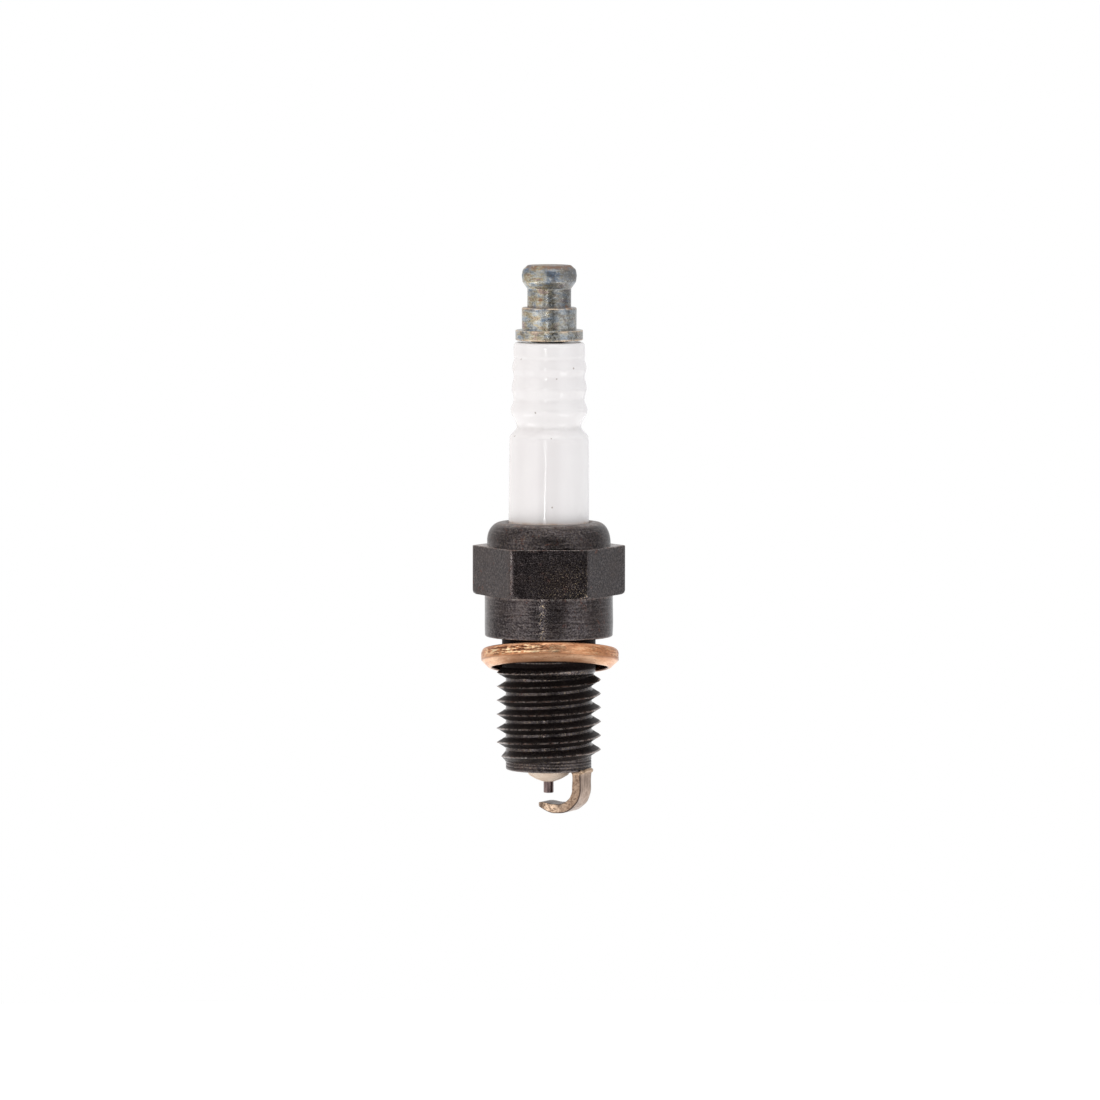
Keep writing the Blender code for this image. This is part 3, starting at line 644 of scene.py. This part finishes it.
def build_shell():
    """The shell as one mesh: its bore, thread, neck, barrel, hexagon and crimp."""
    rows, turned, wear, rust = [], [], [], []

    def add(radius, height, t=0.0, w=0.0, r=0.0):
        """One ring, with how turned, worn and rusty it is."""
        rows.append(ring(radius, height))
        for values, value in ((turned, t), (wear, w), (rust, r)):
            values.append(np.full(SEGMENTS, value))

    # Bore from the ledge down to the mouth, the end face and the pilot.
    for radius, height in path_of([
        (1.80, -3.50), (2.02, -3.78), (2.02, -REACH, 0.05), (PILOT, -REACH, 0.17),
        (PILOT, -REACH + 0.18),
    ], 0.10):
        add(radius, height, t=0.8, w=0.35 if height < -REACH + 0.07 else 0.0)
    low_count = len(rows)
    sheet, sheet_wear, sheet_deep = thread_sheet()

    # Neck, seat and barrel.
    for radius, height in path_of([(NECK, NECK_FOOT), (NECK, 0.0, 0.03), (3.70, 0.0)], 0.10):
        add(radius, height, t=0.6)
    barrel_shake = Waves(11, 10, 3, 3.0)
    barrel = path_of([
        (3.70, 0.0), (3.86, 0.0, 0.20), (BARREL, 0.6), (BARREL, 2.50), (BARREL, 2.56),
    ], 0.06)
    for radius, height in barrel[1:]:
        edges = 0.24 * bell(height, 0.03, 0.05) + 0.42 * bell(height, 2.47, 0.04)
        add(radius + 0.004 * barrel_shake(THETA, height), height, t=1.0, w=edges, r=0.6)

    # Hexagon: its chamfered foot, its flats, its upper edge and its top.
    within = np.mod(THETA, TAU / 6) - TAU / 12
    hexagon = hex_outline(within)
    corners = bell(within, TAU / 12, 0.016) + bell(within, -TAU / 12, 0.016)
    corners *= np.where(ACROSS < 0, 1.0, 0.35)
    for trim, height in path_of([
        (3.89, HEX_BOTTOM + 0.03), (3.97, HEX_BOTTOM), (4.44, HEX_BOTTOM + 0.02),
        (4.55, HEX_BOTTOM + 0.08), (HEX_TURNED, HEX_BOTTOM + 0.24),
    ], 0.07):
        add(np.minimum(hexagon, trim), height, r=0.8)
    for height in np.linspace(HEX_BOTTOM + 0.33, HEX_TOP - 0.09, 26):
        add(np.minimum(hexagon, HEX_TURNED), height, w=0.18 * corners, r=0.9)
    for trim, drop, worn in ((4.61, 0.045, 0.25), (4.585, 0.012, 0.42), (4.53, 0.0, 0.5)):
        add(np.minimum(hexagon - (4.61 - trim) * 0.8, trim), HEX_TOP - drop, w=worn, r=0.8)
    # The top is worn round its outer rim; its left and right ends also get painted highlights in
    # the wear colour, stronger on the left.
    ends = smooth((np.abs(ACROSS) - 0.80) / 0.12)
    for blend in np.linspace(0.15, 1.0, 7):
        inward = (hexagon - 0.06) * (1 - blend) + 3.76 * blend
        at_ends = ends * np.where(ACROSS < 0, 1.0, 0.55) * (1 - 0.4 * blend)
        add(inward, HEX_TOP, w=np.maximum(0.6 * (1 - blend), at_ends), r=1.0)

    # Crimp: up from the hexagon, rolled over in an arc, and down into the bore.
    crimp = [(3.755, HEX_TOP + 0.01), (3.745, HEX_TOP + 0.22)]
    arc_radius, arc_level, arc_out, arc_up, squareness = 2.86, 5.70, 0.885, 1.20, 0.92
    for step in range(1, 17):
        turn = math.radians(5.4 * step)
        out, up = arc_out * math.cos(turn) ** squareness, arc_up * math.sin(turn)
        crimp.append((arc_radius + out, arc_level + up))
    crimp += [(2.72, 6.905), (2.60, 6.87), (2.535, 6.80), (2.515, 6.70), (2.515, 6.40)]
    dent = Waves(5, 14, 7, 4.0)
    for radius, height in crimp:
        rim = 0.4 * bell(height, 6.85, 0.08)
        add(radius + 0.010 * dent(THETA, height), height, t=0.75, w=rim, r=1.0)

    # Where the finish differs: the front flat, a painted highlight streak of pale flecks down the
    # barrel's front, the crimp, and painted shade in the recessed neck.
    points = np.array(rows)
    level = points[..., 2]
    front = smooth((-np.sin(THETA) - 0.852) / 0.014)
    on_hex = smooth((level - HEX_BOTTOM + 0.05) / 0.1) * (1 - smooth((level - HEX_TOP) / 0.1))
    lower_right = smooth((HEX_TOP - level) / 2.6) * smooth((ACROSS * 4.0 + 1.6) / 3.2)
    on_crimp = smooth((level - HEX_TOP) / 0.15)
    # Painted highlight: a narrow streak of pale flecks down the front of the barrel.
    seam = bell(THETA, SEAM, 0.042) * (level > 0.05) * (level < HEX_BOTTOM - 0.05)
    fleck = 0.12 + 0.04 * on_crimp + 1.15 * on_hex * front * lower_right + 0.7 * seam
    matte = on_crimp + on_hex * (0.22 - 0.55 * front)
    # Painted shade in the recessed neck between the gasket and the barrel.
    deep = 0.92 * smooth((level + 1.60) / 0.1) * (1 - smooth((level - 0.005) / 0.02))
    deep = deep * (np.hypot(points[..., 0], points[..., 1]) > 2.7)
    rust = np.array(rust) * (1.0 - 0.6 * on_hex * front)

    parts = (points[:low_count], sheet, points[low_count:])
    verts = np.vstack([part.reshape(-1, 3) for part in parts]) * MM
    index = np.arange(len(verts)).reshape(-1, SEGMENTS)
    sheet_end = low_count + SHEET_ROWS + 1
    faces = stitch(index[:low_count], index[low_count:sheet_end], index[sheet_end:])
    mesh = bpy.data.meshes.new("shell_body")
    mesh.from_pydata(verts.tolist(), [], faces)
    for name, rings, on_sheet in (
        ("turned", turned, smooth((-7.25 - sheet[..., 2]) / 0.1)),
        ("rust", rust, 0.75),
        ("fleck", fleck, 0.45),
        ("wear", wear, sheet_wear),
        ("deep", deep, sheet_deep),
        ("matte", matte, 0.0),
    ):
        on_sheet = np.broadcast_to(on_sheet, sheet.shape[:2])
        set_attribute(mesh, name, np.concatenate(
            [np.array(part).ravel() for part in (rings[:low_count], on_sheet, rings[low_count:])]))
    mesh.shade_smooth()
    mesh.set_sharp_from_angle(angle=math.radians(34))
    shell = new_object("shell_body", mesh)
    finish_piece(shell, "black", "plug", "shell")


# ---------------------------------------------------------------- insulator
# Heights and radii of the ribs' crests and hollows, from the top down.
RIBS = [
    (17.00, 2.16), (16.80, 2.13), (16.24, 2.255), (15.70, 2.15), (15.03, 2.275), (14.30, 2.145),
    (13.70, 2.33), (12.67, 1.945), (11.98, 2.40),
]


def build_insulator():
    """The glazed body with its ribs, and the bare nose."""
    top = path_of([(1.10, 9.0), (1.10, 17.80, 0.05), (2.16, 17.80, 0.28), (2.16, 17.02)], 0.08)
    ribs = []
    for (high, r_high), (low, r_low) in zip(RIBS, RIBS[1:]):
        for t in np.arange(10) / 10:
            ribs.append((r_high + (r_low - r_high) * smooth(t), high + (low - high) * t))
    body = path_of([
        (2.37, 11.98, 0), (2.395, 11.75), (2.40, 11.3), (2.43, 6.90), (2.43, 4.15), (3.13, 3.76),
        (3.13, 1.10),
    ], 0.16)
    profile = np.vstack([top, ribs, body])
    wobble = Waves(21, 12, 3, 1.2)
    pts = lathe_points(profile[::-1], 144, lambda a, r, z: r + 0.006 * wobble(a, z))
    at_rim, under_ribs = bell(pts[..., 2], 6.93, 0.09), bell(pts[..., 2], 12.62, 0.20)
    glazed = grid_object("insulator_glazed", pts, grime=at_rim, film=0.2 * under_ribs)
    finish_piece(glazed, "glaze", "plug", "insulator")
    nose = path_of([
        (0.345, -8.10), (0.345, -8.84, 0.03), (0.74, -8.695, 0.1), (1.17, -8.45, 0.12),
        (1.34, -8.21, 0.1), (1.70, -2.37), (2.13, -2.05), (2.13, 0.30), (3.13, 1.10),
    ], 0.10)
    chips = Waves(23, 16, 9, 6.0)
    pts = lathe_points(nose, 120, lambda a, r, z: r + 0.008 * chips(a, z) * (z < -2.5))
    finish_piece(grid_object("insulator_nose", pts), "bisque", "plug", "insulator")


# ---------------------------------------------------------------- terminal
STUD_ROOT, STUD_DEPTH, STUD_PITCH = 0.79, 0.18, 0.40
STUD_TURNS, STUD_START = 9, 17.66
STUD_CREST = 0.42  # half a crest's width, over the pitch


def build_nut():
    """The nut as one turned body: a collar, a sleeve and a bulb, hollow where the stud goes."""
    outline = path_of([
        (0.02, 22.42), (1.31, 22.42, 0.10), (1.61, 22.15, 0.25), (1.66, 21.80, 0.30),
        (1.61, 21.42, 0.20), (1.315, 21.00, 0.10), (1.31, 20.5), (1.315, 19.88, 0.04),
        (1.65, 19.88, 0.09), (1.65, 18.52, 0.03), (2.04, 18.52, 0.06), (2.04, 17.90, 0.06),
        (1.03, 17.90, 0.06), (1.03, 21.70), (0.02, 22.0),
    ], 0.05)
    wobble = Waves(31, 10, 4, 2.0)
    pts = lathe_points(
        outline[::-1], 144, lambda a, r, z: r + np.where(r > 1.1, 0.006, 0.0) * wobble(a, z))
    x, y, z = pts[..., 0], pts[..., 1], pts[..., 2]
    r, turn = np.hypot(x, y), np.arctan2(y, x)
    edges = ((18.49, 1.98), (17.94, 1.98), (19.85, 1.58))
    wear = sum(bell(z, at, 0.06) * (r > inner) for at, inner in edges)
    rust = 0.75 * bell(z, 22.36, 0.15) * (r > 0.9) + 0.35 * bell(z, 19.9, 0.12)
    rust = rust + 0.25 * bell(z, 17.92, 0.06) + 0.4 * (z > 22.40) * (r <= 0.9)
    for at, up, wide in ((-41, 19.95, 0.16), (-114, 20.37, 0.12)):
        around, along = (turn - math.radians(at)) * r / wide, (z - up) / (wide * 0.6)
        rust = rust + 1.6 * np.exp(-around ** 2 - along ** 2)
    # Painted shade: darker under the bulb, in the inner corners above the collar and above the
    # flange, and in a patch low on the bulb's front.
    grime = 0.14 * bell(z, 21.10, 0.12) + 0.35 * bell(z, 19.93, 0.07) * (r < 1.6)
    grime = grime + 0.35 * bell(z, 18.58, 0.06) * (r < 1.9)
    around, along = (turn + math.radians(90)) * r / 0.32, (z - 21.26) / 0.20
    grime = grime + 0.55 * np.exp(-around ** 2 - along ** 2)
    nut = grid_object("terminal_nut_body", pts, poles=True, wear=wear, rust=rust, grime=grime)
    finish_piece(nut, "zinc", "terminal_nut", "terminal_nut")


def build_stud():
    """The stud, ringed where the glass grips it and threaded above the insulator."""
    profile = [(0.02, 9.0), (0.85, 9.0), (1.02, 9.18)]
    for level in (9.45, 9.95, 10.45):
        profile += [(1.02, level), (0.88, level + 0.08), (0.88, level + 0.18), (1.02, level + 0.26)]
    profile += [(1.02, 17.45), (STUD_ROOT, 17.60)]
    per_turn = 8
    for step in range(per_turn * STUD_TURNS + 1):
        profile.append((STUD_ROOT, STUD_START + step * STUD_PITCH / per_turn))
    profile += [(STUD_ROOT, 21.36), (STUD_ROOT, 21.46), (0.65, 21.60), (0.02, 21.60)]
    profile = np.array(profile)
    in_thread = (profile[:, 1] > 17.64) & (profile[:, 1] < 21.30)

    def climb(angle, radius, height):
        phase = np.mod((height - STUD_START) / STUD_PITCH - angle / TAU, 1.0)
        fade = smooth((height - 17.64) / 0.3) * smooth((21.36 - height) / 0.3)
        lift = np.maximum(0.0, 1 - np.abs(phase - 0.5) / STUD_CREST)
        return np.where(in_thread[:, None], STUD_ROOT + STUD_DEPTH * lift * fade, radius)

    stud = grid_object("terminal_stud_body", lathe_points(profile, 96, climb), poles=True)
    finish_piece(stud, "steel", "plug", "terminal_stud")


# ---------------------------------------------------------------- centre electrode tip
def build_tip():
    profile = path_of([
        (0.01, -9.52), (0.30, -9.52, 0.03), (0.302, -8.6), (0.30, -7.97), (0.01, -7.97),
    ], 0.05)
    shave = Waves(41, 12, 14, 0.6)
    pts = lathe_points(profile, 64, lambda a, r, z: r + 0.004 * shave(a, z) * (r > 0.2))
    tip = grid_object("electrode_tip_wire", pts, poles=True)
    finish_piece(tip, "wire", "plug", "electrode_tip")


# ---------------------------------------------------------------- ground strap
STRAP_TURN = math.radians(-27.0)
STRAP_WIDTH, STRAP_THICK = 1.50, 0.56
STRAP_RADIUS, STRAP_BEND = 2.25, 1.28
ARM_LEVEL, ARM_END = -10.40, -0.50
SHAPED = 0.85  # the arm is hammered to shape from here to its end


def strap_place(x, y, z):
    """A point of the strap, drawn along X, turned to where the strap stands round the axis."""
    c, s = math.cos(STRAP_TURN), math.sin(STRAP_TURN)
    return (x * c - y * s, x * s + y * c, z)


def rounded(angle, power_out, power_across):
    """A point of a rectangle with rounded corners, from -1 to 1 both ways."""
    c, s = math.cos(angle), math.sin(angle)
    return math.copysign(abs(c) ** power_out, c), math.copysign(abs(s) ** power_across, s)


def arm_section(x):
    """(width, height, lift) of the arm's section at x, against the plain strap's."""
    length = SHAPED - ARM_END
    past = max(0.0, (SHAPED - x) / length)
    high = 0.28 + 0.11 * float(smooth((past - 0.15) / 0.6)) - 0.04 * past ** 6
    low = -0.28 + 0.29 * float(smooth((past - 0.10) / 0.90))
    left = min(1.0, length * (1.0 - past) / 0.75)
    ending = 0.40 + 0.60 * math.sqrt(max(0.0, 1.0 - (1.0 - left) ** 2))
    wide = math.sqrt(max(0.0, 1.0 - 0.80 * past ** 4))
    return wide, (high - low) / STRAP_THICK * ending, (high + low) / 2


def build_strap():
    """The ground strap: a leg, a bend and an arm hammered thin under the electrode's tip."""
    # Stations (x, height, turn of the section) down the leg, round the bend and along the arm.
    bend_x, bend_z = STRAP_RADIUS - STRAP_BEND, ARM_LEVEL + STRAP_BEND
    stations = [(STRAP_RADIUS, z, 0.0) for z in np.linspace(-8.12, bend_z, 10)[:-1]]
    for t in [math.pi / 2 * s / 24 for s in range(25)]:
        stations.append((bend_x + STRAP_BEND * math.cos(t), bend_z - STRAP_BEND * math.sin(t), t))
    stations += [(x, ARM_LEVEL, math.pi / 2) for x in np.linspace(bend_x, ARM_END, 42)[1:]]
    section = [rounded(TAU * k / 72, 0.13, 0.13 * 0.55) for k in range(72)]
    shake = Waves(51, 18, 8, 6.0)
    rows, sheared, weld, bright, edge = [], [], [], [], []
    for x, z, t in stations:
        on_arm, past_leg = t > 1.57, t > 0.8
        wide, tall, lift = arm_section(x) if on_arm else (1.0, 1.0, 0.0)
        near_weld = float(bell(z, -8.15, 0.10)) if t == 0.0 else 0.0
        wide *= 1.0 + 0.05 * near_weld
        tall *= 1.0 + 0.12 * near_weld
        points, side, corner = [], [], []
        for out, across in section:
            rough = 0.008 * float(shake(np.array(across * 1.3 + t), np.array(x + z + out)))
            u = out * STRAP_THICK / 2 * tall + rough
            v = across * STRAP_WIDTH / 2 * wide + rough
            points.append(strap_place(x + u * math.cos(t), v, z - u * math.sin(t) + lift))
            side.append(1.0 if abs(across) > 0.975 and -0.90 < out < 0.80 else 0.0)
            # Painted shade: inside the bend, on the arm's top face and on the lower corners of its
            # sides.
            shade = 0.85 * bell(x, 1.12, 0.26) * smooth((-out - 0.05) / 0.6) * past_leg
            on_edge = out < -0.93 or (abs(across) > 0.90 and out >= 0.78)
            corner.append(0.85 if on_edge else float(shade))
        rows.append(points)
        sheared.append(side)
        edge.append(corner)
        weld.append([near_weld] * len(points))
        # Painted highlight on the sheared sides, strongest along the arm.
        lit = 0.16 + 0.70 * bell(x, 0.55, 0.65) * past_leg
        bright.append([lit * value for value in side])
    strap = grid_object(
        "ground_strap", np.array(rows)[::-1], poles=True, sheared=sheared[::-1], weld=weld[::-1],
        bright=bright[::-1], edge=edge[::-1])
    strap.data.set_sharp_from_angle(angle=math.radians(50))
    finish_piece(strap, "nickel", "plug", "ground_electrode")


def build_weld():
    """Flash squeezed out round the strap's foot, thickest on the outside."""
    lumps = Waves(61, 14, 7, 1.0)
    around, section = 96, 14
    loops = []
    for a in [TAU * k / around for k in range(around)]:
        c, s = math.cos(a), math.sin(a)
        u, v = rounded(a, 0.45, 0.35)
        u, v = u * (STRAP_THICK / 2 + 0.06), v * (STRAP_WIDTH / 2 + 0.05)
        grow = 1.0 + 1.1 * max(0.0, c) ** 2
        loop = []
        for b in [TAU * m / section for m in range(section)]:
            size = 0.068 + 0.017 * float(lumps(np.array(a), np.array(b * 0.5)))
            x = STRAP_RADIUS + u + size * grow * math.cos(b) * c * 0.9
            y = v + size * math.cos(b) * s * 0.9
            z = -8.13 + size * grow * math.sin(b) * 0.95 + 0.05 * max(0.0, c)
            loop.append(strap_place(x, y, z))
        loops.append(loop)
    pts = np.array(loops).transpose(1, 0, 2)
    facing_out = np.maximum(0.0, np.cos(np.arange(around) * TAU / around))
    outer = np.repeat(0.25 + 0.75 * facing_out[None, :], section, axis=0)
    # The weld's outer side gets painted highlight specks, its inner side painted shade.
    flash = grid_object(
        "weld_flash", pts, wrap_rows=True, weld=outer, sheared=np.full(pts.shape[:2], 0.4),
        edge=0.7 * (1 - outer), bright=0.75 * outer)
    finish_piece(flash, "nickel", "plug", "ground_electrode")


# ---------------------------------------------------------------- gasket
GASKET_DROP, GASKET_SHIFT = -0.76, 0.06


def build_gasket():
    """A sheet ring folded on itself, open at its lip below, lying tilted on the neck."""
    section = path_of([
        (3.04, -0.28), (3.04, 0.0, 0.05), (3.72, 0.0, 0.0), (4.02, -0.030, 0.20),
        (4.155, -0.24, 0.20), (4.155, -0.72, 0.10), (3.70, -1.16, 0.06), (3.58, -1.20, 0.05),
        (3.50, -1.13, 0.03), (3.52, -1.02), (3.86, -0.62, 0.06), (3.88, -0.42, 0.06),
        (3.72, -0.33, 0.04), (3.04, -0.30, 0.03), (3.04, -0.28),
    ], 0.035)[:-1]
    bend = Waves(71, 10, 5, 0.0)
    rag = Waves(73, 40, 46, 9.0)
    ridge = Waves(75, 16, 3, 30.0)

    def shape(angle, radius, height):
        outer = smooth((radius - 3.9) / 0.2)
        ragged = 0.020 * np.abs(rag(angle, height)) * bell(height, -0.36, 0.26)
        worked = radius + outer * (0.012 * bend(angle, 0) - ragged)
        return worked + outer * 0.006 * ridge(angle, height) * smooth((-0.70 - height) / 0.2)

    pts = lathe_points(section, 288, shape)
    x, y, z = pts[..., 0], pts[..., 1], pts[..., 2]
    r, angle = np.hypot(x, y), np.arctan2(y, x)
    on_rim = smooth((r - 3.85) / 0.15)
    facing = smooth((-np.sin(angle) - 0.55) / 0.35)
    torn = smooth((-0.10 - z) / 0.12) * smooth((z + 0.72) / 0.12) * on_rim
    torn = torn * (0.68 + 0.32 * np.sin(angle * 3.0 + 1.6))
    torn = torn * (1.0 - 0.45 * smooth((np.cos(angle) + 0.05) / 0.4))
    # Painted shade on the ring's inner sheet, past its lowest point.
    inside = np.zeros(z.shape)
    inside[int(np.argmin(section[:, 1])) + 3:] = 1.0
    upper = smooth((z + 0.76) / 0.08) * (1.0 - inside)
    # Painted highlight: the upper band is darkened less on the front, at its top and across its
    # middle.
    upper = upper * (1.0 - 0.6 * facing * smooth((z + 0.18) / 0.1))
    upper = upper * (1.0 - 0.50 * facing * bell(np.cos(angle), 0.06, 0.34))
    # Painted shade: a dark line along the fold and a dark patch low on the front under it.
    crease = bell(z, -0.73, 0.05) * on_rim + 0.92 * bell(z, -1.14, 0.22) * facing * (z < -0.80)
    c, s = math.cos(GASKET_TILT), math.sin(GASKET_TILT)
    lying = np.stack([x + GASKET_SHIFT, y * c - z * s, y * s + z * c + GASKET_DROP], -1)
    gasket = grid_object(
        "crush_gasket", lying[::-1], wrap_rows=True, torn=torn[::-1], inside=inside[::-1],
        crease=crease[::-1], upper=upper[::-1])
    finish_piece(gasket, "copper", "gasket", "gasket")


build_shell()
build_insulator()
build_nut()
build_stud()
build_tip()
build_strap()
build_weld()
build_gasket()

# The sealed inner pieces keep their CAD shape.
for node, material in {
    "upper_glass_seal": "glass",
    "lower_glass_seal": "glass",
    "resistor": "resistor",
    "electrode_sheath": "wire",
    "electrode_core": "core",
    "seat_washer": "steel",
    "lower_packing_ring": "steel",
    "upper_packing_ring": "steel",
    "talc_packing": "talc",
}.items():
    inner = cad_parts[node]
    inner.data.materials.clear()
    inner.data.materials.append(MATERIALS[material])


# ---------------------------------------------------------------- floor, light, camera
FLOOR_DROP, FLOOR_RADIUS = 0.080, 0.45  # metres
LIGHT_TARGET = Vector((0, 0, 0.005))
# Radiance of the world by direction, as the plug sees it. The left side gives that much more.
WORLD = {
    "front": 0.044, "box": 1.12, "side": 0.52, "back": 0.78, "top": 1.15, "bottom": 0.7,
    "left": 0.25,
}


def floor():
    """A pale disc under the plug that glows: dim under the plug as a painted shadow, glowing more
    towards its rim.
    """
    angles = [TAU * k / 96 for k in range(96)]
    rim = [(FLOOR_RADIUS * math.cos(a), FLOOR_RADIUS * math.sin(a), -FLOOR_DROP) for a in angles]
    mesh = bpy.data.meshes.new("floor")
    mesh.from_pydata(rim, [], [tuple(range(len(rim)))])
    plane = new_object("floor", mesh)
    n = Material("pale_floor")
    tone = n.ramp(n.noise(30.0, 3.0, 0.5), (0.3, (0.42, 0.42, 0.42)), (0.7, (0.45, 0.45, 0.45)))
    mesh.materials.append(n.out(tone, 0.9, 0.0))
    n.shader.inputs["Emission Color"].default_value = (1.0, 1.0, 1.0, 1.0)
    spread = n.add("ShaderNodeVectorMath", operation="LENGTH")
    n.plug(n.coords, spread.inputs[0])
    # Painted shadow: the glow is weak under the plug and strong towards the rim.
    glow = n.span(spread.outputs["Value"], 0.09, 0.135, 0.10, 0.85)
    n.plug(glow, n.shader.inputs["Emission Strength"])


def area(name, azimuth, elevation, distance, width, height, radiance):
    """A soft box round the plug. Azimuth 0 is the camera's side, positive to its right."""
    light = bpy.data.lights.new(name, "AREA")
    light.shape = "RECTANGLE"
    light.size, light.size_y = width, height
    light.energy = radiance * math.pi * width * height
    obj = new_object(name, light)
    a, e = math.radians(azimuth), math.radians(elevation)
    away = Vector((math.sin(a) * math.cos(e), -math.cos(a) * math.cos(e), math.sin(e)))
    obj.location = away * distance + LIGHT_TARGET
    obj.rotation_euler = (LIGHT_TARGET - obj.location).to_track_quat("-Z", "Y").to_euler()


def studio():
    """White to the camera. To everything else: a dark camera side, pale sides and back, a
    brighter top."""
    world = bpy.data.worlds.new("studio")
    world.use_nodes = True
    n = Nodes(world.node_tree, "Generated")
    x, y, z = (n.axis(name) for name in "XYZ")
    away = n.maths("ABSOLUTE", n.maths("ARCTAN2", x, n.times(y, -1.0)))
    level = n.span(away, math.radians(20), math.radians(40), WORLD["front"], WORLD["box"])
    for start, end, before, after in ((60, 88, "box", "side"), (100, 128, "side", "back")):
        step = WORLD[after] - WORLD[before]
        level = n.plus(level, n.span(away, math.radians(start), math.radians(end), 0.0, step))
    left = n.span(x, -0.7, 0.7, 1.0, 0.0)
    level = n.times(level, n.plus(1.0, n.times(left, WORLD["left"])))
    high = n.span(z, 0.38, 0.80)
    low = n.span(z, -0.90, -0.66)
    level = n.plus(n.times(level, n.minus(1.0, high)), n.times(high, WORLD["top"]))
    level = n.plus(n.times(level, low), n.times(n.minus(1.0, low), WORLD["bottom"]))
    camera_ray = n.add("ShaderNodeLightPath").outputs["Is Camera Ray"]
    seen = n.plus(n.times(level, n.minus(1.0, camera_ray)), camera_ray)
    tint = n.mix(left, (0.965, 0.98, 1.0), (1.0, 0.98, 0.97))
    background = n.tree.nodes["Background"]
    n.plug(seen, background.inputs["Strength"])
    n.plug(n.mix(camera_ray, tint, (1.0, 1.0, 1.0)), background.inputs["Color"])
    bpy.context.scene.world = world
    bpy.context.scene.view_settings.view_transform = "Standard"


floor()
area("strip", -11.5, -1, 0.42, 0.013, 0.24, 12.0)
area("top_box", 10, 68, 0.32, 0.20, 0.20, 1.2)
area("low_box_left", -74, -32, 0.125, 0.070, 0.030, 2.0)
area("low_box_right", 54, -32, 0.125, 0.060, 0.030, 2.7)
studio()

# A long lens, whose frame is FRAME_WIDTH wide at the plug.
LENS, SENSOR = 300.0, 36.0
FRAME_WIDTH = 66.45
ELEVATION, ROLL = math.radians(4.5), math.radians(0.08)
AIM_X, AIM_Z = 0.065, 5.2
camera = bpy.data.cameras.new("camera")
camera.lens = LENS
camera.sensor_width = SENSOR
camera.clip_start, camera.clip_end = 0.02, 20.0
eye = new_object("camera", camera)
back = Vector((0.0, -math.cos(ELEVATION), math.sin(ELEVATION)))
eye.location = Vector((AIM_X * MM, 0.0, AIM_Z * MM)) + back * (FRAME_WIDTH * LENS / SENSOR * MM)
eye.rotation_euler = (-back).to_track_quat("-Z", "Y").to_euler()
eye.rotation_euler.rotate_axis("Z", ROLL)
bpy.context.scene.camera = eye
